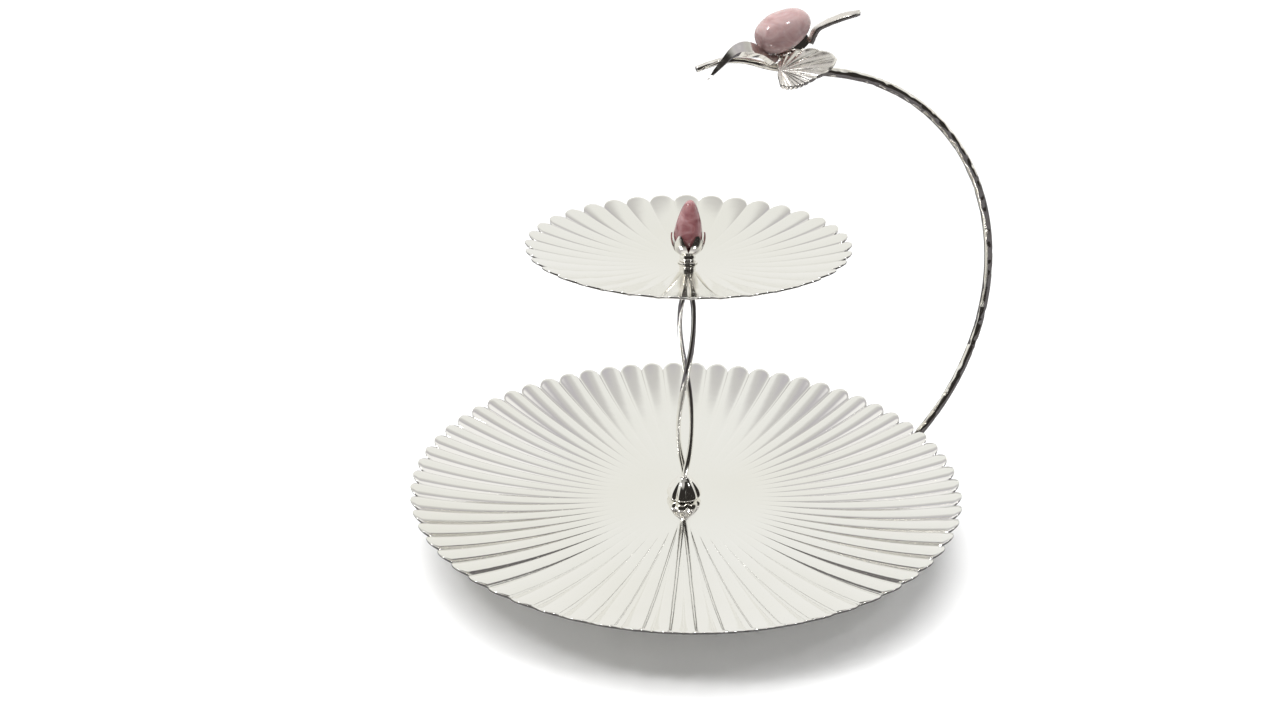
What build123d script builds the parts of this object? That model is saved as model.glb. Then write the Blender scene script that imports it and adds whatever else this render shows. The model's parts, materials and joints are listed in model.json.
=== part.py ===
"""Two-tier cake stand with fluted plates, a twisted stem, a bud finial and a bird on a bent wire handle.

Millimetres.  The origin is the centre of the base's underside, +Z points up the stem.
"""
from build123d import *
from math import cos, pi, radians, sin, sqrt, tan
import os

os.makedirs("parts", exist_ok=True)

# ---------------------------------------------------------------- driving dimensions
SECTION_STEP = 8.0            # about how far apart a flute's cross-sections stand


class Plate:
    """Driving dimensions of one fluted plate."""

    def __init__(self, radius, rim_height, flutes, flute_depth, notch, fade_radius, sheet, turn, floor, power):
        self.radius = radius              # to the tips of the scallops
        self.rim_height = rim_height
        self.flutes = flutes
        self.flute_depth = flute_depth    # at the rim
        self.notch = notch                # how deep the rim is cut between two scallops
        self.fade_radius = fade_radius    # the flutes die out inside this radius
        self.sheet = sheet                # thickness
        self.turn = turn                  # degrees that the first flute is turned from +X
        self.floor = floor                # depth of the middle below the rim
        self.power = power                # how the bowl rises with the radius, from the middle to the rim

    def crest_height(self, radius):
        """Height of the crowns of the flutes."""
        return self.rim_height - self.floor + self.floor * (radius / self.radius) ** self.power

    def depth(self, radius):
        """How far the grooves between the flutes lie below their crowns."""
        reach = max(0.0, (radius - self.fade_radius) / (self.radius - self.fade_radius))
        return self.flute_depth * reach ** FADE_POWER


LOWER = Plate(radius=160.0, rim_height=38.0, flutes=64, flute_depth=2.1, notch=4.6, fade_radius=42.0,
              sheet=1.3, turn=0.85, floor=17.5, power=2.8)
UPPER = Plate(radius=89.0, rim_height=180.9, flutes=35, flute_depth=1.0, notch=5.2, fade_radius=18.0,
              sheet=1.2, turn=-4.0, floor=13.0, power=2.2)

# control points of the rounded curve across a flute, as (part of its half width, part of its depth)
FLUTE_CURVE = ((-1, 1), (-0.86, 0.4), (-0.5, -0.25), (0.5, -0.25), (0.86, 0.4), (1, 1))
FADE_POWER = 1.5              # how the flutes deepen towards the rim

ROD_RADIUS = 3.0              # M6 stud, drawn without its thread
ROD_CLEARANCE = 0.06
BORE_RADIUS = ROD_RADIUS + ROD_CLEARANCE
SEAT_GAP = 0.05               # between faces that turn on each other

LOWER_SEAT = LOWER.rim_height - LOWER.floor       # top of the lower plate at the stem
LOWER_UNDERSIDE = LOWER_SEAT - LOWER.sheet
BEAD_BOTTOM = LOWER_SEAT + 0.07                   # the plate rises a little towards the bead's edge
UPPER_SEAT = UPPER.rim_height - UPPER.floor
UPPER_UNDERSIDE = UPPER_SEAT - UPPER.sheet

BASE_THICKNESS = 1.5          # cork disc that the foot stands on
FOOT_RADIUS = 55.0
FOOT_TOP_RADIUS = 51.0
FOOT_WALL = 1.6
FOOT_TOP = 19.65              # just under the plate, which is soldered to it

WIRE_RADIUS = 2.5
WIRE_TIP_RADIUS = 1.6
WIRE_RUN_HEIGHT = 14.05       # centre of the wire where it runs under the lower plate
HANDLE_TURN = 22.0            # azimuth of the upright plane that the handle lies in
ARCH_CENTRE = (64.5, 128.6)   # (out from the stem, up) in the handle's plane
ARCH_RADIUS = 138.3
ARCH_END = 85.0               # distance out where the arch passes into the perch under the bird
ELBOW_RADIUS = 60.0
LUG_RADIUS = 8.0
LUG_THICKNESS = 2.5
TONGUE_END = 20.0             # distance out where the flattened end has become round wire

WASHER_THICKNESS = 1.2
WASHER_RADIUS = 6.2
NUT_HEIGHT = 5.0
NUT_FLATS = 10.0
LUG_TOP = WIRE_RUN_HEIGHT + LUG_THICKNESS / 2
LUG_BOTTOM = WIRE_RUN_HEIGHT - LUG_THICKNESS / 2
NUT_TOP = LUG_BOTTOM - WASHER_THICKNESS
NUT_BOTTOM = NUT_TOP - NUT_HEIGHT

BEAD_RADIUS = 10.2
BEAD_HEIGHT = 14.0
BEAD_FLUTES = 8
BEAD_TOP = LOWER_SEAT + BEAD_HEIGHT
STRAND_RADIUS = 1.45
STRAND_ORBIT = 3.9            # centre of a strand from the stem's axis
STRAND_END_ORBIT = 1.65
STRAND_GATHER = 16.0          # length over which the strands close together at each end
STRAND_TURN_HEIGHT = 131.6    # height of one full turn
STRAND_CROSSING = 100.5       # height where a strand passes the front of the stem
STRAND_STEPS = 32
COLLAR_BOTTOM = 154.0
COLLAR_TOP = 165.8
SOLDER_DEPTH = 1.2            # how far a soldered end reaches into its socket

FINIAL_WASHER_TOP = UPPER_SEAT + 1.1
NECK_TOP = 172.6
BORE_TOP = 177.0              # end of the finial's blind hole
TOP_ROD_END = FINIAL_WASHER_TOP + 7.5
CALYX_TOP = 185.4
SEPALS = 6
FINIAL_TOP = 203.2

handle_turn = radians(HANDLE_TURN)
handle_plane = Plane(
    origin=(0, 0, 0),
    x_dir=(cos(handle_turn), sin(handle_turn), 0),
    z_dir=(sin(handle_turn), -cos(handle_turn), 0),
)


def handle_point(out, up, near=0.0):
    """A point given outwards from the stem, upwards, and off the handle's plane to its near side."""
    return handle_plane.from_local_coords((out, up, near))


def finish(part, name):
    """Label a finished piece and write its STEP file."""
    part.label = name
    export_step(part, f"parts/{name}.step")


# ---------------------------------------------------------------- fluted plates
def flute_petal(plate):
    """One flute of a plate from the stem hole to the scalloped edge, with +X along its middle."""
    half_angle = radians(180 / plate.flutes)
    first, last = BORE_RADIUS - 1, plate.radius + 2
    steps = round((last - first) / SECTION_STEP)
    with BuildPart() as petal:
        for step in range(steps + 1):
            radius = first + (last - first) * step / steps
            half_width = radius * tan(half_angle)
            crest = plate.crest_height(radius)
            depth = plate.depth(radius)
            upper = [(half_width * across, crest - depth * share) for across, share in FLUTE_CURVE]
            lower = [(across, up - plate.sheet) for across, up in upper]
            with BuildSketch(Plane(origin=(radius, 0, 0), x_dir=(0, 1, 0), z_dir=(1, 0, 0))):
                with BuildLine():
                    Bezier(*upper)
                    Line(upper[-1], lower[-1])
                    Bezier(*lower)
                    Line(lower[0], upper[0])
                make_face()
        loft()
        # trim to the stem hole and to one round scallop
        tip_radius = plate.radius
        outer = tip_radius - plate.notch
        near_notch = (outer * cos(half_angle), -outer * sin(half_angle))
        far_notch = (outer * cos(half_angle), outer * sin(half_angle))
        with BuildSketch():
            with BuildLine():
                Line((0, -tip_radius), (near_notch[0], -tip_radius))
                Line((near_notch[0], -tip_radius), near_notch)
                ThreePointArc(near_notch, (tip_radius, 0), far_notch)
                Line(far_notch, (far_notch[0], tip_radius))
                Line((far_notch[0], tip_radius), (0, tip_radius))
                Line((0, tip_radius), (0, -tip_radius))
            make_face()
        extrude(amount=2 * plate.rim_height, mode=Mode.INTERSECT)
        Cylinder(BORE_RADIUS, 4 * plate.rim_height, mode=Mode.SUBTRACT)
    return petal.part


def fluted_plate(plate):
    """A whole plate: its flutes joined edge to edge into one closed skin."""
    skins = [
        face for face in flute_petal(plate).faces()
        if abs(face.normal_at().Z) > 0.2 or abs(face.normal_at().X) > 0.9
    ]
    ring = [
        Rot(0, 0, plate.turn + 360 * index / plate.flutes) * face
        for index in range(plate.flutes)
        for face in skins
    ]
    return Solid(Shell(ring))


with BuildPart() as lower_plate:
    add(fluted_plate(LOWER))
finish(lower_plate.part, "lower_plate")

with BuildPart() as upper_plate:
    add(fluted_plate(UPPER))
finish(upper_plate.part, "upper_plate")


# ---------------------------------------------------------------- foot
with BuildPart() as base_disc:
    with BuildSketch():
        Circle(FOOT_RADIUS - 0.5)
    extrude(amount=BASE_THICKNESS)
finish(base_disc.part, "base_disc")

with BuildPart() as foot_ring:
    with BuildSketch(Plane.XZ):
        with BuildLine():
            Line((FOOT_RADIUS - 2.6, BASE_THICKNESS), (FOOT_RADIUS - 1, BASE_THICKNESS))
            ThreePointArc((FOOT_RADIUS - 1, BASE_THICKNESS), (FOOT_RADIUS, 3), (FOOT_RADIUS - 1, 4.5))
            Spline((FOOT_RADIUS - 1, 4.5), (FOOT_TOP_RADIUS + 0.6, 11), (FOOT_TOP_RADIUS, FOOT_TOP))
            Line((FOOT_TOP_RADIUS, FOOT_TOP), (FOOT_TOP_RADIUS - FOOT_WALL, FOOT_TOP))
            Spline((FOOT_TOP_RADIUS - FOOT_WALL, FOOT_TOP), (FOOT_TOP_RADIUS + 0.6 - FOOT_WALL, 11),
                   (FOOT_RADIUS - 2.6, 4.5))
            Line((FOOT_RADIUS - 2.6, 4.5), (FOOT_RADIUS - 2.6, BASE_THICKNESS))
        make_face()
    revolve(axis=Axis.Z)
    # open slot that the handle wire passes through
    slot_width = 2 * WIRE_RADIUS + 1.4
    slot_place = handle_point(FOOT_TOP_RADIUS, WIRE_RUN_HEIGHT - slot_width / 2)
    with Locations(Location(slot_place, (0, 0, HANDLE_TURN))):
        Box(12, slot_width, 12, align=(Align.CENTER, Align.CENTER, Align.MIN), mode=Mode.SUBTRACT)
finish(foot_ring.part, "foot_ring")


# ---------------------------------------------------------------- fastening under the lower plate
def ring(bottom, top, outer, inner=BORE_RADIUS):
    """A plain turned ring round the stem."""
    with BuildPart() as turned:
        with BuildSketch(Plane.XY.offset(bottom)):
            Circle(outer)
            Circle(inner, mode=Mode.SUBTRACT)
        extrude(amount=top - bottom)
        chamfer(turned.edges().filter_by(GeomType.CIRCLE).group_by(SortBy.RADIUS)[-1], 0.2)
    return turned.part


def rod(bottom, top):
    """A stud on the stem's axis."""
    with BuildPart() as turned:
        with BuildSketch(Plane.XY.offset(bottom)):
            Circle(ROD_RADIUS)
        extrude(amount=top - bottom)
        chamfer(turned.edges().filter_by(GeomType.CIRCLE), 0.5)
    return turned.part


finish(rod(NUT_BOTTOM - 1.5, BEAD_TOP - 4), "stem_stud")
finish(ring(LUG_TOP, LOWER_UNDERSIDE, LUG_RADIUS), "plate_spacer")
finish(ring(NUT_TOP, LUG_BOTTOM, WASHER_RADIUS), "lock_washer")

with BuildPart() as lock_nut:
    with BuildSketch(Plane.XY.offset(NUT_BOTTOM)):
        RegularPolygon(NUT_FLATS / 2, 6, major_radius=False)
        Circle(BORE_RADIUS, mode=Mode.SUBTRACT)
    extrude(amount=NUT_HEIGHT)
finish(lock_nut.part, "lock_nut")


# ---------------------------------------------------------------- stem
with BuildPart() as stem_bead:
    with BuildSketch(Plane.XZ):
        with BuildLine():
            Line((0, BEAD_BOTTOM), (8.4, BEAD_BOTTOM))
            Spline((8.4, BEAD_BOTTOM), (BEAD_RADIUS, BEAD_BOTTOM + 3.2), (8.3, BEAD_BOTTOM + 8.0), (3.4, BEAD_TOP))
            Line((3.4, BEAD_TOP), (0, BEAD_TOP))
            Line((0, BEAD_TOP), (0, BEAD_BOTTOM))
        make_face()
    revolve(axis=Axis.Z)
    with PolarLocations(BEAD_RADIUS + 1.1, BEAD_FLUTES, start_angle=11.25):
        Cylinder(2.1, 2 * BEAD_TOP, mode=Mode.SUBTRACT)
    with Locations((0, 0, BEAD_TOP - 3.6)):
        Cylinder(BORE_RADIUS, 20, align=(Align.CENTER, Align.CENTER, Align.MAX), mode=Mode.SUBTRACT)
finish(stem_bead.part, "stem_bead")


def strand_point(height, start_angle):
    """Centre of a strand at a height: a helix that closes in on the axis at both ends."""
    to_end = min(height - BEAD_TOP, COLLAR_BOTTOM - height)
    gather = min(1.0, max(0.0, to_end / STRAND_GATHER))
    orbit = STRAND_END_ORBIT + (STRAND_ORBIT - STRAND_END_ORBIT) * sin(gather * pi / 2)
    angle = radians(start_angle) + 2 * pi * (height - STRAND_CROSSING) / STRAND_TURN_HEIGHT
    return Vector(orbit * cos(angle), orbit * sin(angle), height)


def stem_strand(start_angle):
    """One of the two strands twisted round each other, a right-handed turn."""
    bottom, top = BEAD_TOP - SOLDER_DEPTH, COLLAR_BOTTOM + SOLDER_DEPTH
    heights = [bottom + (top - bottom) * step / STRAND_STEPS for step in range(STRAND_STEPS + 1)]
    with BuildPart() as strand:
        with BuildLine() as centre_line:
            Spline(*[strand_point(height, start_angle) for height in heights])
        path = centre_line.line
        with BuildSketch(Plane(origin=path @ 0, z_dir=path % 0)):
            Circle(STRAND_RADIUS)
        sweep(path=path)
    return strand.part


finish(stem_strand(-90), "strand_front")
finish(stem_strand(90), "strand_back")

with BuildPart() as stem_collar:
    with BuildSketch(Plane.XZ):
        with BuildLine():
            Line((0, COLLAR_BOTTOM), (4.0, COLLAR_BOTTOM))
            Spline((4.0, COLLAR_BOTTOM), (4.6, COLLAR_BOTTOM + 5), (7.5, COLLAR_TOP - 1.5),
                   tangents=[(0, 1), (1, 1)])
            Line((7.5, COLLAR_TOP - 1.5), (7.5, COLLAR_TOP))
            Line((7.5, COLLAR_TOP), (0, COLLAR_TOP))
            Line((0, COLLAR_TOP), (0, COLLAR_BOTTOM))
        make_face()
    revolve(axis=Axis.Z)
    with Locations((0, 0, COLLAR_TOP)):
        Cylinder(BORE_RADIUS, 7.5, align=(Align.CENTER, Align.CENTER, Align.MAX), mode=Mode.SUBTRACT)
finish(stem_collar.part, "stem_collar")

finish(rod(COLLAR_TOP - 7, TOP_ROD_END), "top_stud")
finish(ring(COLLAR_TOP, UPPER_UNDERSIDE - 0.17, 6.5), "support_washer")


# ---------------------------------------------------------------- finial
finish(ring(UPPER_SEAT + SEAT_GAP, FINIAL_WASHER_TOP, 5.5), "finial_washer")

with BuildPart() as finial_neck:
    neck_bottom = FINIAL_WASHER_TOP + SEAT_GAP
    with BuildSketch(Plane.XZ):
        with BuildLine():
            Line((BORE_RADIUS, neck_bottom), (4.3, neck_bottom))
            ThreePointArc((4.3, neck_bottom), (4.8, neck_bottom + 0.7), (4.3, neck_bottom + 1.4))
            ThreePointArc((4.3, neck_bottom + 1.4), (4.6, neck_bottom + 2.4), (4.3, NECK_TOP))
            Line((4.3, NECK_TOP), (3.8, NECK_TOP))
            Line((3.8, NECK_TOP), (3.8, BORE_TOP + 0.5))
            Line((3.8, BORE_TOP + 0.5), (0, BORE_TOP + 0.5))
            Line((0, BORE_TOP + 0.5), (0, BORE_TOP))
            Line((0, BORE_TOP), (BORE_RADIUS, BORE_TOP))
            Line((BORE_RADIUS, BORE_TOP), (BORE_RADIUS, neck_bottom))
        make_face()
    revolve(axis=Axis.Z)
finish(finial_neck.part, "finial_neck")

# pointed notch that parts two sepals
SEPAL_NOTCH_BOTTOM = 175.4
SEPAL_NOTCH_KNEE = 180.0
with BuildPart() as sepal_notch:
    with BuildSketch(Plane.YZ):
        Polygon((0, SEPAL_NOTCH_BOTTOM), (1.5, SEPAL_NOTCH_KNEE), (4.2, CALYX_TOP + 0.6), (-4.2, CALYX_TOP + 0.6),
                (-1.5, SEPAL_NOTCH_KNEE), align=None)
    extrude(amount=12)

with BuildPart() as finial_calyx:
    with BuildSketch(Plane.XZ):
        with BuildLine():
            Spline((4.4, NECK_TOP), (7.6, 175.2), (9.5, 179.6), (9.3, CALYX_TOP))
            Line((9.3, CALYX_TOP), (8.5, CALYX_TOP))
            Spline((8.5, CALYX_TOP), (8.65, 179.8), (6.9, 175.9), (3.9, NECK_TOP + 0.9))
            Line((3.9, NECK_TOP + 0.9), (3.9, NECK_TOP))
            Line((3.9, NECK_TOP), (4.4, NECK_TOP))
        make_face()
    revolve(axis=Axis.Z)
    with PolarLocations(0, SEPALS, start_angle=180 / SEPALS):
        add(sepal_notch.part, mode=Mode.SUBTRACT)
finish(finial_calyx.part, "finial_calyx")

with BuildPart() as finial_stone:
    with BuildSketch(Plane.XZ):
        with BuildLine():
            Line((0, BORE_TOP + 0.55), (5.2, BORE_TOP + 0.55))
            Spline((5.2, BORE_TOP + 0.55), (7.5, 180.6), (8.05, 185.0), (6.8, 191.0), (4.8, 197.0), (3.0, 201.0),
                   (1.4, 202.75), (0, FINIAL_TOP))
            Line((0, FINIAL_TOP), (0, BORE_TOP + 0.55))
        make_face()
    revolve(axis=Axis.Z)
finish(finial_stone.part, "finial_stone")


# ---------------------------------------------------------------- handle wire
arch_out, arch_up = ARCH_CENTRE
elbow_up = WIRE_RUN_HEIGHT + ELBOW_RADIUS
elbow_out = arch_out + sqrt((ARCH_RADIUS - ELBOW_RADIUS) ** 2 - (arch_up - elbow_up) ** 2)
reach = ARCH_RADIUS / (ARCH_RADIUS - ELBOW_RADIUS)
arch_start = (arch_out + reach * (elbow_out - arch_out), arch_up + reach * (elbow_up - arch_up))
arch_end = (ARCH_END, arch_up + sqrt(ARCH_RADIUS ** 2 - (ARCH_END - arch_out) ** 2))
arch_side = (arch_out + ARCH_RADIUS, arch_up)
elbow_middle = (elbow_out + ELBOW_RADIUS * sin(radians(22)), elbow_up - ELBOW_RADIUS * cos(radians(22)))

# the perch under the bird drifts to the far side, so that the beak passes in front of it
PERCH = ((65, 268.3, -1.0), (49, 270.5, -2.6), (34, 274.3, -4.2), (23, 275.4, -4.8), (13.5, 273.9, -4.8),
         (5.5, 271.8, -4.8))

with BuildPart() as handle_wire:
    with BuildLine(handle_plane) as arch_line:
        Line((TONGUE_END - 2, WIRE_RUN_HEIGHT), (elbow_out, WIRE_RUN_HEIGHT))
        ThreePointArc((elbow_out, WIRE_RUN_HEIGHT), elbow_middle, arch_start)
        ThreePointArc(arch_start, arch_side, arch_end)
    with BuildSketch(Plane(origin=handle_point(TONGUE_END - 2, WIRE_RUN_HEIGHT), z_dir=handle_plane.x_dir)):
        Circle(WIRE_RADIUS)
    sweep(path=arch_line.line)
    with BuildLine() as perch_line:
        perch_points = [handle_point(*arch_end)] + [handle_point(*point) for point in PERCH]
        Spline(*perch_points, tangents=[arch_line.line % 1, handle_point(-8, -2.1)])
    perch_path = perch_line.line
    with BuildSketch(Plane(origin=perch_path @ 0, z_dir=perch_path % 0)):
        Circle(WIRE_RADIUS)
    with BuildSketch(Plane(origin=perch_path @ 1, z_dir=perch_path % 1)):
        Circle(WIRE_TIP_RADIUS)
    sweep(path=perch_path, multisection=True)
    # flattened end with the eye that the stud passes through
    with BuildSketch(Plane.XY.offset(LUG_BOTTOM)):
        Circle(LUG_RADIUS)
    extrude(amount=LUG_THICKNESS)
    with BuildSketch(Plane(origin=handle_point(5, WIRE_RUN_HEIGHT), x_dir=-handle_plane.z_dir,
                           z_dir=handle_plane.x_dir)):
        Rectangle(8, LUG_THICKNESS)
    with BuildSketch(Plane(origin=handle_point(TONGUE_END, WIRE_RUN_HEIGHT), x_dir=-handle_plane.z_dir,
                           z_dir=handle_plane.x_dir)):
        Circle(WIRE_RADIUS)
    loft()
    Cylinder(BORE_RADIUS, 4 * WIRE_RUN_HEIGHT, mode=Mode.SUBTRACT)
finish(handle_wire.part, "handle_wire")


# ---------------------------------------------------------------- bird
STONE_BLUNT = (38.2, 283.6)   # ends of the stone's long axis in the handle's plane
STONE_POINT = (67.6, 295.6)
# along the stone's axis from its blunt end, and its radius there
STONE_OUTLINE = ((0, 0), (0.5, 3.0), (2.2, 6.4), (6, 9.2), (12, 10.6), (18.5, 10.2), (24.5, 8.4), (28.6, 6.0),
                 (31.0, 3.0), (31.8, 0))

stone_axis = Vector(STONE_POINT[0] - STONE_BLUNT[0], STONE_POINT[1] - STONE_BLUNT[1]).normalized()
stone_plane = Plane(
    origin=handle_point(*STONE_BLUNT),
    x_dir=handle_point(stone_axis.X, stone_axis.Y),
    z_dir=handle_plane.z_dir,
)


def bird_stone(growth):
    """The polished drop that forms the bird's body, or a slightly larger one to cut its seat with."""
    outline = [(along + (growth if along > 20 else -growth), radius + growth) for along, radius in STONE_OUTLINE]
    outline[0] = (outline[0][0], 0)
    outline[-1] = (outline[-1][0], 0)
    with BuildPart() as stone:
        with BuildSketch(stone_plane):
            with BuildLine():
                Spline(*outline)
                Line(outline[-1], outline[0])
            make_face()
        revolve(axis=Axis(stone_plane.origin, stone_plane.x_dir))
    return stone.part


finish(bird_stone(0), "bird_stone")

# strip that follows the underside of the stone, with a post down to the wire
CRADLE_NEAR = -0.6            # its near and far faces from the handle's plane
CRADLE_FAR = -5.0
with BuildPart() as bird_cradle:
    with BuildSketch(handle_plane.offset(CRADLE_FAR)):
        with BuildLine():
            Spline((43.6, 279.6), (49, 276.2), (56, 275.2), (63, 277.2), (70.2, 283.2))
            Line((70.2, 283.2), (67, 287))
            Line((67, 287), (55, 283))
            Line((55, 283), (45.2, 281.6))
            Line((45.2, 281.6), (43.6, 279.6))
        make_face()
    extrude(amount=CRADLE_NEAR - CRADLE_FAR)
    with BuildSketch(Plane.XY.offset(270)):
        with Locations(handle_point(56, 0, -2.6)):
            Circle(1.6)
    extrude(amount=6.5)
    add(bird_stone(0.1), mode=Mode.SUBTRACT)
finish(bird_cradle.part, "bird_cradle")

# head and beak: (out, up, height, half thickness) of its kite-shaped sections, from the neck to the tip
HEAD = ((48.5, 276.6, 3.8, 3.4), (41.3, 277.8, 5.0, 3.2), (36.2, 280.1, 6.8, 3.7), (30.1, 281.5, 8.0, 3.8),
        (24.6, 281.0, 6.4, 3.2), (20.5, 278.2, 4.6, 2.6), (16.7, 274.5, 3.3, 1.9), (12.7, 270.8, 2.1, 1.2),
        (8.9, 267.3, 0.6, 0.4))
HEAD_NEAR = 1.5
with BuildPart() as bird_head:
    for index, (out, up, height, half_thickness) in enumerate(HEAD):
        before = HEAD[max(index - 1, 0)]
        after = HEAD[min(index + 1, len(HEAD) - 1)]
        along = handle_point(after[0] - before[0], after[1] - before[1])
        with BuildSketch(Plane(origin=handle_point(out, up, HEAD_NEAR), x_dir=handle_plane.z_dir, z_dir=along)):
            Polygon((0, height / 2), (half_thickness, -0.1 * height), (0, -height / 2),
                    (-half_thickness, -0.1 * height), align=None)
    loft()
    add(bird_stone(0.1), mode=Mode.SUBTRACT)
finish(bird_head.part, "bird_head")

# wing: a plane that slopes down towards the near side, with its root at the bird's shoulder
WING_SLOPE = 40.0
WING_ROOT = (46.3, 273.5, 8.0)
WING_THICKNESS = 3.0
wing_plane = Plane(
    origin=handle_point(*WING_ROOT),
    x_dir=handle_plane.x_dir,
    z_dir=handle_point(0, cos(radians(WING_SLOPE)), sin(radians(WING_SLOPE))),
)
with BuildPart() as bird_wing:
    with BuildSketch(wing_plane):
        with BuildLine():
            Spline((1.5, 3.5), (8, 6.4), (15.5, 9.4), (25, 10.1), (34, 7.0), (38.2, 2.5))
            Spline((38.2, 2.5), (30, -5.2), (19, -10.3), (9, -14.2), (1.1, -14.9), (-2.6, -13))
            Spline((-2.6, -13), (-1.8, -5.2), (0, -0.5), (1.5, 3.5))
        make_face()
    extrude(amount=-WING_THICKNESS)
    # curled lug that joins the wing to the cradle
    with BuildSketch(Plane(origin=handle_point(50, 275.6, 1.0), z_dir=handle_point(8, 2.2))):
        Circle(1.5)
    extrude(amount=8)
    add(bird_stone(0.2), mode=Mode.SUBTRACT)
finish(bird_wing.part, "bird_wing")

TAIL_WIDTH = 9.0
TAIL_ROOT_WIDTH = 4.0
with BuildPart() as bird_tail:
    with BuildSketch(handle_plane.offset(-TAIL_WIDTH / 2)):
        with BuildLine():
            Line((67.9, 282.6), (71.0, 289.3))
            Spline((71.0, 289.3), (82.3, 294.4), (98.0, 297.6))
            Line((98.0, 297.6), (98.4, 295.2))
            Spline((98.4, 295.2), (83.2, 292.0), (73.6, 287.9))
            Line((73.6, 287.9), (70.3, 281.4))
            Line((70.3, 281.4), (67.9, 282.6))
        make_face()
    extrude(amount=TAIL_WIDTH)
    # taper in plan from the root to the tip
    with BuildSketch(Plane(origin=handle_point(0, 270), x_dir=handle_plane.x_dir, z_dir=(0, 0, 1))):
        with BuildLine():
            Line((66, -TAIL_ROOT_WIDTH / 2), (74, -TAIL_ROOT_WIDTH / 2))
            Spline((74, -TAIL_ROOT_WIDTH / 2), (86, -3.6), (96, -TAIL_WIDTH / 2))
            ThreePointArc((96, -TAIL_WIDTH / 2), (99.3, 0), (96, TAIL_WIDTH / 2))
            Spline((96, TAIL_WIDTH / 2), (86, 3.6), (74, TAIL_ROOT_WIDTH / 2))
            Line((74, TAIL_ROOT_WIDTH / 2), (66, TAIL_ROOT_WIDTH / 2))
            Line((66, TAIL_ROOT_WIDTH / 2), (66, -TAIL_ROOT_WIDTH / 2))
        make_face()
    extrude(amount=40, mode=Mode.INTERSECT)
finish(bird_tail.part, "bird_tail")
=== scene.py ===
"""Looks of the two-tier cake stand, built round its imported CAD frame.

Shapes are given in millimetres in the CAD's own frame and scaled once, when a mesh is made: the origin is
the centre of the base's underside and +Z points up the stem.
"""

import json
from math import acos, atan2, cos, degrees, pi, radians, sin, sqrt

import bpy
import numpy as np
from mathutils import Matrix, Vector


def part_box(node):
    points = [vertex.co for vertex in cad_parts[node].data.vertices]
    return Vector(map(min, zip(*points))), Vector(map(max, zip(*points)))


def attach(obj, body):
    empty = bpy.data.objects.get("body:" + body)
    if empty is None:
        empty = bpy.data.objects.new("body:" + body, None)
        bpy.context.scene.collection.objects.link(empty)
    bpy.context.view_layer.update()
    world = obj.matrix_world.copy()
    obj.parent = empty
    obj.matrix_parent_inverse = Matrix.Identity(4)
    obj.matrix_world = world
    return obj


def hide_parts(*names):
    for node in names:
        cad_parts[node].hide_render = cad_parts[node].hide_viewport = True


MM = 0.001

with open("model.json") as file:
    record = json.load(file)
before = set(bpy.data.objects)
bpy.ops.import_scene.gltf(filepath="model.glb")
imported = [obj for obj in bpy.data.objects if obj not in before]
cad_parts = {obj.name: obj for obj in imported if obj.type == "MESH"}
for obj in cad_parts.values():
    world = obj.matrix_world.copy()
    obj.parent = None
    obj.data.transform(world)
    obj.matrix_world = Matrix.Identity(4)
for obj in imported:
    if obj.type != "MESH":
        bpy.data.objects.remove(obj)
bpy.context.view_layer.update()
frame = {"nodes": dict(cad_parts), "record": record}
record = frame["record"]
slot_of = {part["node"]: part["material_slot"] for part in record["subparts"]}
body_of = {node: body for body, nodes in record["behaviour"]["bodies"].items() for node in nodes}


def cad_box(node):
    """Lowest and highest corner of a CAD node, in millimetres."""
    low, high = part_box(node)
    return np.array(low) / MM, np.array(high) / MM


# ---------------------------------------------------------------- mesh helpers
def smooth_curve(points, steps):
    """A smooth curve through the points, with that many steps between each two of them."""
    points = np.asarray(points, float)
    slopes = np.gradient(points, axis=0)
    t = np.linspace(0, 1, steps, endpoint=False)[:, None]
    runs = []
    for start, end, leave, arrive in zip(points, points[1:], slopes, slopes[1:]):
        runs.append(
            (2 * t**3 - 3 * t**2 + 1) * start
            + (t**3 - 2 * t**2 + t) * leave
            + (3 * t**2 - 2 * t**3) * end
            + (t**3 - t**2) * arrive
        )
    return np.vstack([*runs, points[-1:]])


def ring_faces(rows, columns, closed_rows):
    """Quads between rings of points; each ring closes on itself."""
    first = np.arange(rows if closed_rows else rows - 1)[:, None]
    column = np.arange(columns)[None, :]
    next_row = (first + 1) % rows
    next_column = (column + 1) % columns
    corners = (
        first * columns + column,
        first * columns + next_column,
        next_row * columns + next_column,
        next_row * columns + column,
    )
    return np.stack(np.broadcast_arrays(*corners), -1).reshape(-1, 4).tolist()


def ring_shell(rings, closed_rows=False):
    """Points and faces of a shell of rings, closed into a loop or capped with a point at both ends."""
    rings = np.asarray(rings, float)
    rows, columns, _ = rings.shape
    points = rings.reshape(-1, 3)
    faces = ring_faces(rows, columns, closed_rows)
    if not closed_rows:
        first_pole, last_pole = rows * columns, rows * columns + 1
        points = np.vstack([points, rings[0].mean(0), rings[-1].mean(0)])
        last = (rows - 1) * columns
        for column in range(columns):
            after = (column + 1) % columns
            faces.append([first_pole, after, column])
            faces.append([last_pole, last + column, last + after])
    return points, faces


def join(*shells):
    """Several shells as one."""
    points, faces = [], []
    for shell_points, shell_faces in shells:
        offset = sum(len(part) for part in points)
        points.append(shell_points)
        faces.extend([[corner + offset for corner in face] for face in shell_faces])
    return np.vstack(points), faces


def add_piece(node, shell):
    """A smooth mesh that stands for a CAD node and moves with its body."""
    points, faces = shell
    mesh = bpy.data.meshes.new(node)
    mesh.from_pydata((points * MM).tolist(), [], faces)
    mesh.update()
    mesh.shade_smooth()
    piece = bpy.data.objects.new(f"{node}_shape", mesh)
    bpy.context.scene.collection.objects.link(piece)
    piece.data.materials.append(materials[slot_of[node]])
    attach(piece, body_of[node])
    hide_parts(node)


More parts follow.
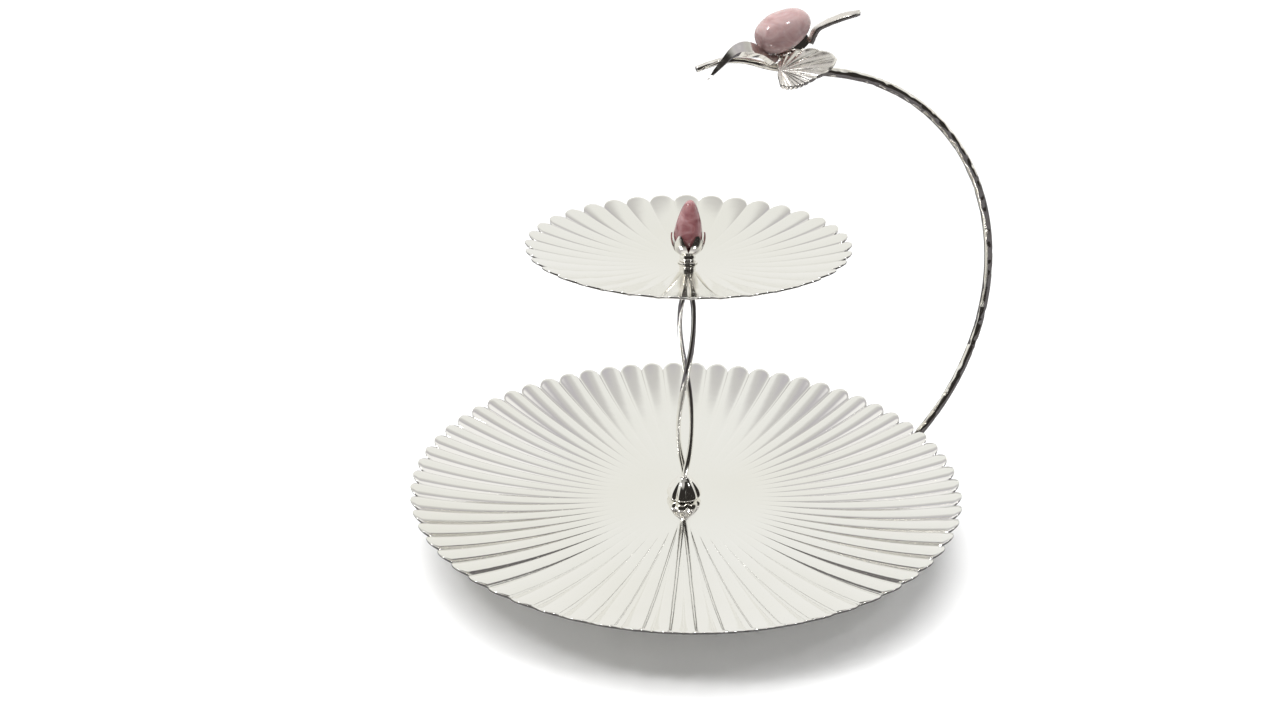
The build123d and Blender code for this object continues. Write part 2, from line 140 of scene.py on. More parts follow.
def wobble(angle, along, size, seed):
    """A small smooth unevenness that closes on itself round the angle."""
    return size * (
        0.5 * np.sin(2 * angle + 0.9 * along + seed)
        + 0.3 * np.sin(3 * angle - 1.7 * along + 2.1 * seed)
        + 0.2 * np.sin(5 * angle + 2.9 * along + 3.7 * seed)
    )


# ---------------------------------------------------------------- materials
class NodeMaterial:
    """A Principled material with short ways to add noise to its colour, roughness and surface.

    The plain colour and roughness are those that a viewer without procedural textures shows.
    """

    def __init__(self, name, colour, roughness, metallic=0.0, **values):
        self.material = bpy.data.materials.new(name)
        self.material.use_nodes = True
        self.nodes = self.material.node_tree.nodes
        self.links = self.material.node_tree.links
        self.shader = self.nodes["Principled BSDF"]
        self.shader.inputs["Base Color"].default_value = (*colour, 1)
        self.shader.inputs["Roughness"].default_value = roughness
        self.shader.inputs["Metallic"].default_value = metallic
        for socket, value in values.items():
            self.shader.inputs[socket.replace("_", " ")].default_value = value
        self.coordinates = self.nodes.new("ShaderNodeTexCoord")
        self.last_bump = None

    def noise(self, scale, detail=3.0, stretch=(1, 1, 1), distortion=0.0):
        """Noise over the object, scale in waves per metre."""
        mapping = self.nodes.new("ShaderNodeMapping")
        mapping.inputs["Scale"].default_value = stretch
        texture = self.nodes.new("ShaderNodeTexNoise")
        texture.inputs["Scale"].default_value = scale
        texture.inputs["Detail"].default_value = detail
        texture.inputs["Distortion"].default_value = distortion
        self.links.new(self.coordinates.outputs["Object"], mapping.inputs["Vector"])
        self.links.new(mapping.outputs["Vector"], texture.inputs["Vector"])
        return texture.outputs["Fac"]

    def colours(self, source, stops):
        """Colours along a ramp, as (place, colour)."""
        ramp = self.nodes.new("ShaderNodeValToRGB")
        for index, (place, colour) in enumerate(stops):
            stop = ramp.color_ramp.elements[index] if index < 2 else ramp.color_ramp.elements.new(place)
            stop.position = place
            stop.color = (*colour, 1)
        self.links.new(source, ramp.inputs["Fac"])
        self.links.new(ramp.outputs["Color"], self.shader.inputs["Base Color"])

    def roughness(self, source, low, high):
        """Roughness that follows the source between two limits."""
        spread = self.nodes.new("ShaderNodeMapRange")
        spread.inputs["From Min"].default_value = 0.3
        spread.inputs["From Max"].default_value = 0.7
        spread.inputs["To Min"].default_value = low
        spread.inputs["To Max"].default_value = high
        self.links.new(source, spread.inputs["Value"])
        self.links.new(spread.outputs["Result"], self.shader.inputs["Roughness"])

    def bump(self, source, strength, height):
        """Adds relief of that height in metres."""
        bump = self.nodes.new("ShaderNodeBump")
        bump.inputs["Strength"].default_value = strength
        bump.inputs["Distance"].default_value = height
        self.links.new(source, bump.inputs["Height"])
        if self.last_bump:
            self.links.new(self.last_bump.outputs["Normal"], bump.inputs["Normal"])
        self.links.new(bump.outputs["Normal"], self.shader.inputs["Normal"])
        self.last_bump = bump


def plate_silver():
    """Polished silver plate, a little cloudy, with fine polishing marks."""
    silver = NodeMaterial("plate_silver", (0.93, 0.92, 0.90), 0.08, metallic=1.0)
    silver.colours(silver.noise(9, 4), [(0.3, (0.91, 0.90, 0.86)), (0.7, (0.95, 0.945, 0.93))])
    silver.roughness(silver.noise(38, 5), 0.055, 0.12)
    silver.bump(silver.noise(70, 2), 0.12, 0.0006)
    return silver.material


def polished_silver():
    """Mirror-polished silver."""
    silver = NodeMaterial("polished_silver", (0.93, 0.92, 0.89), 0.04, metallic=1.0)
    silver.colours(silver.noise(60, 3), [(0.3, (0.89, 0.87, 0.82)), (0.7, (0.95, 0.94, 0.92))])
    silver.roughness(silver.noise(240, 4), 0.025, 0.085)
    silver.bump(silver.noise(140, 2), 0.2, 0.0005)
    return silver.material


def hammered_silver():
    """Silver polished over its hammer marks; a trace of tarnish stays in the hollows."""
    silver = NodeMaterial("hammered_silver", (0.93, 0.91, 0.87), 0.06, metallic=1.0)
    silver.colours(silver.noise(120, 4), [(0.25, (0.78, 0.74, 0.66)), (0.6, (0.95, 0.935, 0.90))])
    silver.roughness(silver.noise(300, 4), 0.035, 0.12)
    silver.bump(silver.noise(420, 3), 0.16, 0.0002)
    return silver.material


def satin_silver():
    """Silver with a brushed satin surface."""
    silver = NodeMaterial("satin_silver", (0.93, 0.91, 0.87), 0.24, metallic=1.0)
    silver.colours(silver.noise(90, 4), [(0.25, (0.90, 0.86, 0.79)), (0.7, (0.985, 0.965, 0.925))])
    silver.roughness(silver.noise(700, 4, (0.25, 1, 1)), 0.2, 0.34)
    silver.bump(silver.noise(1500, 3, (0.2, 1, 1)), 0.12, 0.0001)
    return silver.material


def quartz(name, light, middle, deep):
    """Polished rose quartz, cloudy inside, with paler veins."""
    stone = NodeMaterial(
        name, middle, 0.12,
        Subsurface_Weight=0.35, Subsurface_Scale=0.004, Coat_Weight=0.6, Coat_Roughness=0.04,
    )
    stone.shader.inputs["Subsurface Radius"].default_value = (1.0, 0.55, 0.45)
    clouds = stone.noise(95, 6, (1, 1, 1.6), 1.6)
    stone.colours(clouds, [(0.30, deep), (0.72, light), (0.5, middle)])
    stone.roughness(stone.noise(260, 4), 0.06, 0.2)
    stone.bump(stone.noise(180, 4), 0.12, 0.0006)
    return stone.material


def turned_steel():
    """Plain turned steel of the fasteners."""
    steel = NodeMaterial("steel", (0.56, 0.56, 0.57), 0.3, metallic=1.0)
    steel.colours(steel.noise(180, 4), [(0.3, (0.45, 0.45, 0.46)), (0.7, (0.62, 0.62, 0.63))])
    steel.roughness(steel.noise(900, 3, (0.1, 0.1, 1)), 0.22, 0.42)
    steel.bump(steel.noise(2200, 2, (0.1, 0.1, 1)), 0.2, 0.0001)
    return steel.material


def fibre():
    """Pressed fibre washer."""
    board = NodeMaterial("fibre", (0.72, 0.68, 0.60), 0.7)
    board.colours(board.noise(600, 6), [(0.3, (0.60, 0.55, 0.46)), (0.7, (0.78, 0.74, 0.66))])
    board.roughness(board.noise(1200, 4), 0.55, 0.8)
    board.bump(board.noise(1600, 5), 0.3, 0.0002)
    return board.material


def cork():
    """Pressed cork: pale grains with dark specks between them."""
    grains = NodeMaterial("cork", (0.55, 0.40, 0.26), 0.8)
    grains.colours(
        grains.noise(340, 7, distortion=0.8),
        [(0.30, (0.16, 0.09, 0.05)), (0.66, (0.66, 0.50, 0.33)), (0.44, (0.48, 0.33, 0.20))],
    )
    grains.roughness(grains.noise(500, 4), 0.7, 0.9)
    grains.bump(grains.noise(700, 6), 0.5, 0.0004)
    return grains.material


materials = {
    "plate_silver": plate_silver(),
    "polished_silver": polished_silver(),
    "hammered_silver": hammered_silver(),
    "satin_silver": satin_silver(),
    "body_quartz": quartz("body_quartz", (0.66, 0.49, 0.48), (0.56, 0.38, 0.375), (0.46, 0.28, 0.27)),
    "finial_quartz": quartz("finial_quartz", (0.54, 0.31, 0.32), (0.41, 0.19, 0.20), (0.28, 0.10, 0.11)),
    "steel": turned_steel(),
    "fibre": fibre(),
    "cork": cork(),
}

for node, cad_object in frame["nodes"].items():
    cad_object.data.materials.clear()
    cad_object.data.materials.append(materials[slot_of[node]])


# ---------------------------------------------------------------- fluted plates
def rounded_flute(across):
    """How far a rounded flute lies below its crown, as a part of its depth: nothing in the middle."""
    return 1 - (1 - np.clip(np.abs(across), 0, 0.985) ** 2.2) ** 0.6


# where the mesh has its points across a flute: close together at the grooves
ACROSS = (-1, -0.985, -0.95, -0.88, -0.76, -0.58, -0.3, 0, 0.3, 0.58, 0.76, 0.88, 0.95, 0.985)
BORE = 3.06                   # of every hole that a stud passes through
FADE_POWER = 1.3              # how the flutes deepen towards the rim
# the rounded edge of the sheet: (outwards from the rim, part of the thickness)
EDGE = ((-0.42, 0), (-0.14, 0.08), (0, 0.32), (0, 0.68), (-0.14, 0.92), (-0.42, 1))


def plate_shell(node, flutes, depth, notch, fade_radius, sheet, turn, floor, power):
    """A plate of thin sheet whose flutes run from near the stem to a scalloped rim."""
    low, high = cad_box(node)
    rim = (high[0] - low[0]) / 2
    seat = low[2] + sheet
    half_angle = pi / flutes
    starts = turn + 2 * half_angle * np.arange(flutes)
    across = np.tile(ACROSS, flutes)
    angle = np.repeat(starts, len(ACROSS)) + half_angle * across
    # scallops: arcs through the notches and the tips
    outer = rim - notch
    arc_centre = (rim**2 - outer**2) / (2 * (rim - outer * cos(half_angle)))
    beside = across * half_angle
    arc_radius = rim - arc_centre
    edge = arc_centre * np.cos(beside) + np.sqrt(arc_radius**2 - (arc_centre * np.sin(beside)) ** 2)

    def surface(radius):
        """Height of the sheet's upper face."""
        crest = seat + floor * (radius / rim) ** power
        reach = np.clip((radius - fade_radius) / (rim - fade_radius), 0, None)
        uneven = wobble(angle, radius / 40, 0.12, flutes) * reach
        return crest - depth * reach**FADE_POWER * rounded_flute(across) + uneven

    top = np.concatenate([np.linspace(0, 0.7, 18), np.linspace(0.72, 1, 22)])
    under = np.concatenate([np.linspace(1, 0.7, 12), np.linspace(0.65, 0, 9)])
    rows = [(share, EDGE[0][0] * share, 0.0) for share in top]
    rows += [(1.0, out, thickness) for out, thickness in EDGE[1:-1]]
    rows += [(share, EDGE[-1][0] * share, 1.0) for share in under]
    rings = []
    for share, out, thickness in rows:
        radius = BORE + (edge - BORE) * share + out
        height = surface(radius) - sheet * thickness
        rings.append(np.stack([radius * np.cos(angle), radius * np.sin(angle), height], -1))
    return ring_shell(rings, closed_rows=True)


add_piece("lower_plate", plate_shell(
    "lower_plate", flutes=64, depth=2.4, notch=4.6, fade_radius=36, sheet=1.3, turn=radians(0.85),
    floor=17.5, power=2.8))
add_piece("upper_plate", plate_shell(
    "upper_plate", flutes=35, depth=1.15, notch=5.2, fade_radius=18, sheet=1.2, turn=radians(-4),
    floor=13, power=2.2))


# ---------------------------------------------------------------- stem
def turned_shell(profile, columns, shape=None):
    """A turned form from (radius, height) pairs. shape scales the radius from its angle and height."""
    angle = np.linspace(0, 2 * pi, columns, endpoint=False)
    rings = []
    for radius, height in profile:
        out = radius * (shape(angle, height) if shape else np.ones(columns))
        rings.append(np.stack([out * np.cos(angle), out * np.sin(angle), np.full(columns, height)], -1))
    return ring_shell(rings)


def stem_bead():
    """The bud-shaped bead at the foot of the stem, with eight grooves that open upwards."""
    low, high = cad_box("stem_bead")
    bottom, top = low[2], high[2]
    profile = smooth_curve([(8.2, bottom), (9.9, bottom + 1.6), (10.2, bottom + 3.4), (9.3, bottom + 6.2),
                            (7.2, bottom + 9.4), (4.9, bottom + 12), (3.3, top)], 8)
    groove_start = radians(11.25)

    def grooves(angle, height):
        """What the grooves leave of the radius."""
        rise = (height - bottom) / (top - bottom)
        depth = 0.15 * np.sin(pi * min(1.0, rise * 1.15)) ** 0.6 if rise > 0 else 0.0
        return 1 - depth * np.abs(np.cos(4 * (angle - groove_start))) ** 6

    return turned_shell(profile, 160, grooves)


add_piece("stem_bead", stem_bead())

STRAND_ORBIT = 3.9
STRAND_END_ORBIT = 1.65
STRAND_GATHER = 16.0
STRAND_TURN_HEIGHT = 131.6
STRAND_CROSSING = 100.5
STRAND_WIDTH = 3.7            # across the stem
STRAND_DEPTH = 2.8            # towards the stem's axis


def strand_shell(node, start):
    """An oval wire that winds once round the other one."""
    low, high = cad_box(node)
    bottom, top = low[2], high[2]
    section = np.linspace(0, 2 * pi, 20, endpoint=False)
    rings = []
    for height in np.linspace(bottom, top, 110):
        to_end = min(height - bottom, top - height)
        gather = sin(min(1.0, to_end / STRAND_GATHER) * pi / 2)
        orbit = STRAND_END_ORBIT + (STRAND_ORBIT - STRAND_END_ORBIT) * gather
        angle = start + 2 * pi * (height - STRAND_CROSSING) / STRAND_TURN_HEIGHT
        outwards = np.array([cos(angle), sin(angle), 0])
        lean = 2 * pi * orbit / STRAND_TURN_HEIGHT
        sideways = np.array([-sin(angle), cos(angle), 0])
        across = sideways - lean * np.array([0, 0, 1])
        across /= np.linalg.norm(across)
        narrow = 0.78 + 0.22 * gather
        ring = (
            orbit * outwards
            + np.outer(np.cos(section), across) * STRAND_WIDTH / 2 * narrow
            + np.outer(np.sin(section), outwards) * STRAND_DEPTH / 2 * narrow
        )
        rings.append(ring + np.array([0, 0, height]))
    return ring_shell(rings)


add_piece("strand_front", strand_shell("strand_front", -pi / 2))
add_piece("strand_back", strand_shell("strand_back", pi / 2))


# ---------------------------------------------------------------- handle
HANDLE_TURN = radians(22)
OUT = np.array([cos(HANDLE_TURN), sin(HANDLE_TURN), 0])
UP = np.array([0, 0, 1])
NEAR = np.array([sin(HANDLE_TURN), -cos(HANDLE_TURN), 0])


def handle_point(out, up, near=0.0):
    """A point given outwards from the stem, upwards, and off the handle's plane to its near side."""
    return out * OUT + up * UP + near * NEAR


WIRE_RADIUS = 2.5
WIRE_TIP_RADIUS = 1.6
RUN_HEIGHT = 14.05            # middle of the wire where it runs under the lower plate
ARCH_CENTRE = (64.5, 128.6)   # (out, up) in the handle's plane
ARCH_RADIUS = 138.3
ARCH_END = 85.0               # distance out where the arch passes into the perch
ELBOW_RADIUS = 60.0
ELBOW_UP = RUN_HEIGHT + ELBOW_RADIUS
ELBOW_OUT = ARCH_CENTRE[0] + sqrt((ARCH_RADIUS - ELBOW_RADIUS) ** 2 - (ARCH_CENTRE[1] - ELBOW_UP) ** 2)
PERCH = ((65, 268.3, -1.0), (49, 270.5, -2.6), (34, 274.3, -4.2), (23, 275.4, -4.8), (13.5, 273.9, -4.8),
         (5.5, 271.8, -4.8))
TIP_LENGTH = 85.0             # length over which the wire thins towards its tip
FIRST_BLOW = 24               # how far along the wire the hammer marks start
BLOW_STEP = 1.5
TONGUE_START = 6.0            # distance out where the wire leaves its eye
TONGUE_LENGTH = 20.0          # length over which it turns from flat to round
LUG_RADIUS = 8.0
LUG_THICKNESS = 2.5


def arc(centre, radius, start, end, steps):
    """Points of an arc in the handle's plane, by its angles in degrees from outwards to up."""
    angles = np.radians(np.linspace(start, end, steps))
    out, up = centre
    return [handle_point(out + radius * cos(angle), up + radius * sin(angle)) for angle in angles]


def wire_route():
    """The middle of the wire from beside the stud, out, up and over to its tip under the bird."""
    join_angle = degrees(atan2(ELBOW_UP - ARCH_CENTRE[1], ELBOW_OUT - ARCH_CENTRE[0]))
    run = np.linspace(TONGUE_START, ELBOW_OUT, 90, endpoint=False)
    line = [handle_point(out, RUN_HEIGHT) for out in run]
    elbow = arc((ELBOW_OUT, ELBOW_UP), ELBOW_RADIUS, -90, join_angle, 50)
    arch_end = degrees(acos((ARCH_END - ARCH_CENTRE[0]) / ARCH_RADIUS))
    arch = arc(ARCH_CENTRE, ARCH_RADIUS, join_angle, arch_end, 260)
    perch = smooth_curve([arch[-1], *[handle_point(*point) for point in PERCH]], 12)
    return np.array([*line, *elbow[:-1], *arch[:-1], *perch])


def hammered_wire():
    """Round wire flattened here and there by hammer blows, with a flat eye under the plate."""
    route = wire_route()
    tangents = np.gradient(route, axis=0)
    tangents /= np.linalg.norm(tangents, axis=1)[:, None]
    lengths = np.concatenate([[0], np.cumsum(np.linalg.norm(np.diff(route, axis=0), axis=1))])
    total = lengths[-1]
    section = np.linspace(0, 2 * pi, 24, endpoint=False)
    taper = np.interp(lengths, [0, total - TIP_LENGTH, total], [WIRE_RADIUS, WIRE_RADIUS, WIRE_TIP_RADIUS])
    radii = np.repeat(taper[:, None], len(section), axis=1)
    blows = np.random.default_rng(7)
    for place in np.arange(FIRST_BLOW, total - 1, BLOW_STEP):
        facing = blows.uniform(0, 2 * pi)
        middle = place + blows.uniform(-1, 1)
        flat = blows.uniform(0.80, 0.93)
        length = blows.uniform(6, 16)
        away = (lengths - middle) ** 2 / (2 * length)
        facing_share = np.cos(section - facing)
        cut = (flat * taper + away)[:, None] / np.where(facing_share > 0.2, facing_share, np.inf)[None, :]
        radii = np.where(cut > 0, np.minimum(radii, cut), radii)
    rings = []
    for index, centre in enumerate(route):
        side = np.cross(tangents[index], NEAR)
        side /= np.linalg.norm(side)
        near = np.cross(side, tangents[index])
        # the first stretch is beaten flat into the eye
        flatten = np.clip((TONGUE_LENGTH - lengths[index]) / (TONGUE_LENGTH - TONGUE_START), 0, 1)
        wide, tall = 1 + 0.7 * flatten, 1 - 0.5 * flatten
        rings.append(
            centre
            + np.outer(np.cos(section) * radii[index] * wide, near)
            + np.outer(np.sin(section) * radii[index] * tall, side)
        )
    half = LUG_THICKNESS / 2
    eye_profile = ((BORE, -half), (LUG_RADIUS - 0.4, -half), (LUG_RADIUS, -half + 0.4),
                   (LUG_RADIUS, half - 0.4), (LUG_RADIUS - 0.4, half), (BORE, half))
    angle = np.linspace(0, 2 * pi, 64, endpoint=False)
    eye = [
        np.stack([radius * np.cos(angle), radius * np.sin(angle), np.full(64, RUN_HEIGHT + height)], -1)
        for radius, height in eye_profile
    ]
    return join(ring_shell(rings), ring_shell(eye, closed_rows=True))


add_piece("handle_wire", hammered_wire())


# ---------------------------------------------------------------- stones
def stone_shell(start, axis, side, outline, seed, unevenness):
    """A tumbled stone along an axis from (along, radius) pairs: round, but not quite even."""
    other = np.cross(axis, side)
    profile = smooth_curve(outline, 6)[1:-1]
    angle = np.linspace(0, 2 * pi, 56, endpoint=False)
    length = outline[-1][0]
    rings = []
    for along, radius in profile:
        out = radius * (1 + wobble(angle, 5 * along / length, unevenness, seed))
        around = np.outer(np.cos(angle) * out, side) + np.outer(np.sin(angle) * out, other)
        rings.append(start + along * axis + around)
    return ring_shell(rings)


STONE_BLUNT = handle_point(38.2, 283.6)
STONE_POINT = handle_point(67.6, 295.6)
STONE_OUTLINE = ((0, 0), (0.5, 3.0), (2.2, 6.4), (6, 9.1), (12, 10.5), (18.5, 10.1), (24.5, 8.4),
                 (28.6, 6.0), (31.0, 3.0), (31.8, 0))
stone_axis = (STONE_POINT - STONE_BLUNT) / np.linalg.norm(STONE_POINT - STONE_BLUNT)
add_piece("bird_stone", stone_shell(
    STONE_BLUNT, stone_axis, NEAR, STONE_OUTLINE, seed=1.3, unevenness=0.025))


def finial_stone():
    """The finial's stone, a bud that leans a little to one side."""
    low, high = cad_box("finial_stone")
    bottom, top = low[2], high[2]
    outline = ((0, 0), (0.1, 5.1), (3.0, 7.4), (7.4, 7.95), (13.4, 6.8), (19.4, 4.8), (23.4, 3.0),
               (25.2, 1.4), (top - bottom, 0))
    points, faces = stone_shell(np.array([0, 0, bottom]), UP, OUT, outline, seed=4.1, unevenness=0.035)
    lean = ((points[:, 2] - bottom) / (top - bottom)) ** 2
    points[:, 0] += 0.9 * lean
    return points, faces


add_piece("finial_stone", finial_stone())


# ---------------------------------------------------------------- bird's wing and tail
WING_SLOPE = radians(40)
WING_ROOT = handle_point(46.3, 273.5, 8.0)
WING_THICKNESS = 3.0
WING_HUB = (0.6, -3.4)        # the feathers fan out from here
WING_UPPER = ((1.5, 3.5), (8, 6.4), (15.5, 9.4), (25, 10.1), (34, 7.0), (38.2, 2.5))
WING_LOWER = ((38.2, 2.5), (30, -5.2), (19, -10.3), (9, -14.2), (1.1, -14.9), (-2.6, -13))
WING_BACK = ((-2.6, -13), (-1.8, -5.2), (0, -0.5), (1.5, 3.5))
FEATHERS = 13


def reach_of_outline(outline, hub, angles):
    """How far the outline is from the hub in each direction."""
    offsets = outline - np.asarray(hub)
    outline_angles = np.unwrap(np.arctan2(offsets[:, 1], offsets[:, 0]))
    order = np.argsort(outline_angles)
    return np.interp(angles, outline_angles[order], np.linalg.norm(offsets, axis=1)[order], period=2 * pi)


def wing_shell():
    """The wing: a thick leaf with feathers raised on both faces and a rippled edge."""
    normal = cos(WING_SLOPE) * UP + sin(WING_SLOPE) * NEAR
    back = np.cross(normal, OUT)
    outline = np.vstack([smooth_curve(edge, 14)[:-1] for edge in (WING_UPPER, WING_LOWER, WING_BACK)])
    angles = np.linspace(-pi, pi, 280, endpoint=False)
    reach = reach_of_outline(outline, WING_HUB, angles)
    first, last = radians(-108), radians(62)
    fan = np.clip((angles - first) / (last - first), 0, 1)
    feather = np.abs(np.sin(pi * FEATHERS * fan)) ** 0.55
    edge_reach = reach - 0.9 + 0.9 * feather
    rows = [(share, 1.0) for share in (0.04, 0.1, 0.18, 0.28, 0.4, 0.52, 0.64, 0.76, 0.86, 0.93, 0.975)]
    rows += [(0.995, 0.72), (1.0, 0.25), (1.0, -0.35), (0.99, -0.8)]
    rows += [(share, -1.0) for share in (0.96, 0.8, 0.6, 0.4, 0.2, 0.05)]
    rings = []
    for share, face in rows:
        relief = 0.8 * feather * min(1.0, share * 2.4) * (1 if face > 0 else 0.5)
        half = (WING_THICKNESS / 2 - 0.75 + relief) * face
        camber = 1.2 * share**2 * (reach / reach.max()) ** 2
        a = WING_HUB[0] + edge_reach * share * np.cos(angles)
        b = WING_HUB[1] + edge_reach * share * np.sin(angles)
        place = np.outer(a, OUT) + np.outer(b, back) + np.outer(half - camber - WING_THICKNESS / 2, normal)
        rings.append(WING_ROOT + place)
    lug_start = handle_point(50, 275.6, 1.0)
    lug_axis = handle_point(8, 2.2) / np.linalg.norm(handle_point(8, 2.2))
    lug_outline = ((0, 0), (0.3, 0.9), (1.2, 1.45), (4, 1.5), (6.8, 1.45), (7.7, 0.9), (8, 0))
    lug = stone_shell(lug_start, lug_axis, NEAR, lug_outline, seed=2.0, unevenness=0.02)
    return join(ring_shell(rings), lug)


add_piece("bird_wing", wing_shell())

TAIL_TOP = ((67.9, 282.6), (71.0, 289.3), (76.2, 292.2), (82.3, 294.4), (90, 296.3), (98.4, 297.6))
TAIL_UNDER = ((70.3, 281.4), (73.6, 287.9), (77.6, 290.1), (83.2, 292.0), (90.5, 293.9), (98.6, 295.2))
TAIL_WIDTHS = (3.6, 4.2, 5.6, 6.9, 8.0, 8.8)
TAIL_FEATHERS = 5


def tail_shell():
    """The tail: a strip that widens to a round end, with feathers along its upper face."""
    top = smooth_curve(TAIL_TOP, 12)
    under = smooth_curve(TAIL_UNDER, 12)
    width = smooth_curve([(value, 0) for value in TAIL_WIDTHS], 12)[:, 0]
    # the last stretch closes in to a round end
    end_rows = 14
    to_end = np.linspace(1, 0, end_rows)
    width[-end_rows:] *= np.sqrt(1 - (1 - to_end) ** 2 * 0.93)
    across_top = np.linspace(1, -1, 61)
    across_under = np.linspace(-1, 1, 21)
    feather = np.abs(np.sin(pi * TAIL_FEATHERS * (across_top + 1) / 2)) ** 0.7
    rings = []
    for index in range(len(top)):
        # the feathers start a little way out from the root
        share = min(1.0, index / 14)
        rise = top[index] - under[index]
        rise /= np.linalg.norm(rise)
        crown = 0.45 * feather * share - 0.45 * share - 0.5 * across_top**4
        face = [
            handle_point(*(top[index] + rise * lift), near=side * width[index] / 2)
            for lift, side in zip(crown, across_top)
        ]
        back = [handle_point(*under[index], near=side * width[index] / 2) for side in across_under]
        rings.append(face + back)
    return ring_shell(rings)


add_piece("bird_tail", tail_shell())


# ---------------------------------------------------------------- floor, light and camera, in metres
STAND_MIDDLE = (0.03, 0, 0.25)
FLOOR_SIDE = 5.0              # metres to the left, to the right and back
FLOOR_NEAR_EDGE = -0.28       # metres, just in front of the lower plate


def table_paper():
    """White paper. What the metal reflects of it is a dull grey."""
    paper = NodeMaterial("floor_paper", (0.92, 0.92, 0.92), 0.9, Specular_IOR_Level=0.0)
    paper.colours(paper.noise(3, 2), [(0.3, (0.92, 0.92, 0.92)), (0.7, (0.94, 0.94, 0.94))])
    dull = paper.nodes.new("ShaderNodeBsdfDiffuse")
    dull.inputs["Color"].default_value = (0.10, 0.095, 0.10, 1)
    rays = paper.nodes.new("ShaderNodeLightPath")
    # mirror rays, but not those that light the paper itself
    mirrored = paper.nodes.new("ShaderNodeMath")
    mirrored.operation = "SUBTRACT"
    mirrored.use_clamp = True
    paper.links.new(rays.outputs["Is Glossy Ray"], mirrored.inputs[0])
    paper.links.new(rays.outputs["Diffuse Depth"], mirrored.inputs[1])
    mix = paper.nodes.new("ShaderNodeMixShader")
    paper.links.new(mirrored.outputs["Value"], mix.inputs["Fac"])
    paper.links.new(paper.shader.outputs["BSDF"], mix.inputs[1])
    paper.links.new(dull.outputs["BSDF"], mix.inputs[2])
    paper.links.new(mix.outputs["Shader"], paper.nodes["Material Output"].inputs["Surface"])
    return paper.material


def add_floor():
    """A plain pale table top under the stand. Its near edge is close to the stand."""
    mesh = bpy.data.meshes.new("floor")
    corners = [
        (-FLOOR_SIDE, FLOOR_NEAR_EDGE, 0),
        (FLOOR_SIDE, FLOOR_NEAR_EDGE, 0),
        (FLOOR_SIDE, FLOOR_SIDE, 0),
        (-FLOOR_SIDE, FLOOR_SIDE, 0),
    ]
    mesh.from_pydata(corners, [], [(0, 1, 2, 3)])
    floor = bpy.data.objects.new("floor", mesh)
    bpy.context.scene.collection.objects.link(floor)
    floor.data.materials.append(table_paper())


def add_area(name, place, size, power):
    """A soft square light aimed at the middle of the stand."""
    light = bpy.data.lights.new(name, "AREA")
    light.size = size
    light.energy = power
    lamp = bpy.data.objects.new(name, light)
    lamp.location = place
    direction = Vector(STAND_MIDDLE) - Vector(place)
    lamp.rotation_euler = direction.to_track_quat("-Z", "Y").to_euler()
    bpy.context.scene.collection.objects.link(lamp)


def add_ceiling_light():
    """An even overhead light, so wide that the plates' shadows have no edge. The metal doesn't show it."""
    light = bpy.data.lights.new("ceiling_light", "SUN")
    light.energy = 3.3
    light.angle = radians(58)
    lamp = bpy.data.objects.new("ceiling_light", light)
    lamp.rotation_euler = (radians(-3), radians(-5), 0)
    lamp.visible_glossy = False
    bpy.context.scene.collection.objects.link(lamp)


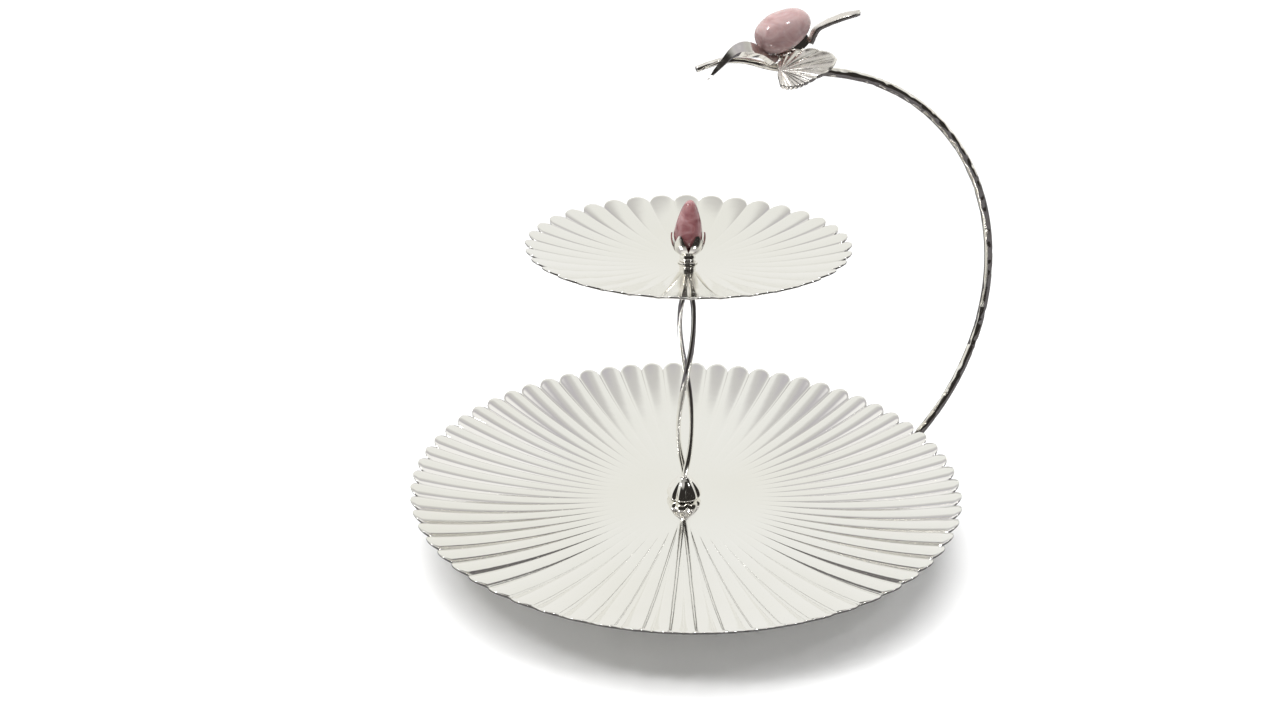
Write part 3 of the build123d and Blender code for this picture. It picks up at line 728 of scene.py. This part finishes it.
def studio_world():
    """Pale walls, a duller ceiling with a white lamp, and a dark space in front, as the metal sees them."""
    world = bpy.data.worlds.new("studio")
    bpy.context.scene.world = world
    world.use_nodes = True
    nodes = world.node_tree.nodes
    links = world.node_tree.links
    nodes.clear()
    direction = nodes.new("ShaderNodeTexCoord")
    parts = nodes.new("ShaderNodeSeparateXYZ")
    links.new(direction.outputs["Generated"], parts.inputs["Vector"])

    def step(source, start, end):
        """A smooth step from 0 to 1 of a value between two limits."""
        spread = nodes.new("ShaderNodeMapRange")
        spread.interpolation_type = "SMOOTHSTEP"
        spread.inputs["From Min"].default_value = start
        spread.inputs["From Max"].default_value = end
        links.new(source, spread.inputs["Value"])
        return spread.outputs["Result"]

    def product(one, two):
        """Two values multiplied."""
        times = nodes.new("ShaderNodeMath")
        times.operation = "MULTIPLY"
        links.new(one, times.inputs[0])
        links.new(two, times.inputs[1])
        return times.outputs["Value"]

    def blend(share, one, two):
        """A blend of two colours; either may be an output."""
        mix = nodes.new("ShaderNodeMix")
        mix.data_type = "RGBA"
        links.new(share, mix.inputs["Factor"])
        for socket, colour in (("A", one), ("B", two)):
            target = [entry for entry in mix.inputs if entry.name == socket and entry.type == "RGBA"][0]
            if isinstance(colour, tuple):
                target.default_value = (*colour, 1)
            else:
                links.new(colour, target)
        return [entry for entry in mix.outputs if entry.type == "RGBA"][0]

    def emitted(colour, strength=1.0):
        """Light of that colour; the colour may be an output."""
        background = nodes.new("ShaderNodeBackground")
        background.inputs["Strength"].default_value = strength
        if isinstance(colour, tuple):
            background.inputs["Color"].default_value = (*colour, 1)
        else:
            links.new(colour, background.inputs["Color"])
        return background.outputs["Background"]

    # from the horizon up: pale walls, a duller ceiling, and a white lamp straight overhead
    walls = nodes.new("ShaderNodeValToRGB")
    walls.color_ramp.interpolation = "EASE"
    heights = ((0.0, (0.89, 0.885, 0.85)), (0.66, (0.86, 0.86, 0.82)), (0.79, (0.60, 0.59, 0.57)),
               (0.87, (0.52, 0.50, 0.52)), (0.94, (0.95, 0.94, 0.92)))
    for index, (height, colour) in enumerate(heights):
        stop = walls.color_ramp.elements[index] if index < 2 else walls.color_ramp.elements.new(height)
        stop.position = height
        stop.color = (*colour, 1)
    links.new(parts.outputs["Z"], walls.inputs["Fac"])
    # the dark room lies in front of the table and a little to the right
    towards = nodes.new("ShaderNodeVectorMath")
    towards.operation = "DOT_PRODUCT"
    towards.inputs[1].default_value = (0.3, -0.95, 0.0)
    links.new(direction.outputs["Generated"], towards.inputs[0])
    in_front = product(step(towards.outputs["Value"], 0.12, 0.4), step(parts.outputs["Z"], 0.85, 0.65))
    seen = blend(in_front, walls.outputs["Color"], (0.03, 0.027, 0.025))
    rays = nodes.new("ShaderNodeLightPath")
    lit = nodes.new("ShaderNodeMixShader")
    links.new(rays.outputs["Is Glossy Ray"], lit.inputs["Fac"])
    links.new(emitted((1, 1, 1), strength=0.20), lit.inputs[1])
    links.new(emitted(seen), lit.inputs[2])
    shown = nodes.new("ShaderNodeMixShader")
    links.new(rays.outputs["Is Camera Ray"], shown.inputs["Fac"])
    links.new(lit.outputs["Shader"], shown.inputs[1])
    links.new(emitted((1, 1, 1)), shown.inputs[2])
    output = nodes.new("ShaderNodeOutputWorld")
    links.new(shown.outputs["Shader"], output.inputs["Surface"])


def add_camera():
    """The camera, in front of the stand and looking down on it."""
    camera = bpy.data.cameras.new("camera")
    camera.lens = 35.16
    camera.sensor_width = 36.0
    camera.clip_start = 0.01
    camera.clip_end = 50.0
    holder = bpy.data.objects.new("camera", camera)
    holder.location = (-0.0262, -0.6515, 0.393)
    holder.rotation_euler = (radians(66.47), 0, 0)
    bpy.context.scene.collection.objects.link(holder)
    bpy.context.scene.camera = holder


add_floor()
studio_world()
add_ceiling_light()
add_area("window_light", (-0.8, -0.5, 1.3), size=0.28, power=5)
add_area("lamp_light", (0.75, -0.6, 1.2), size=0.14, power=2)
add_camera()
bpy.context.scene.view_settings.view_transform = "Standard"
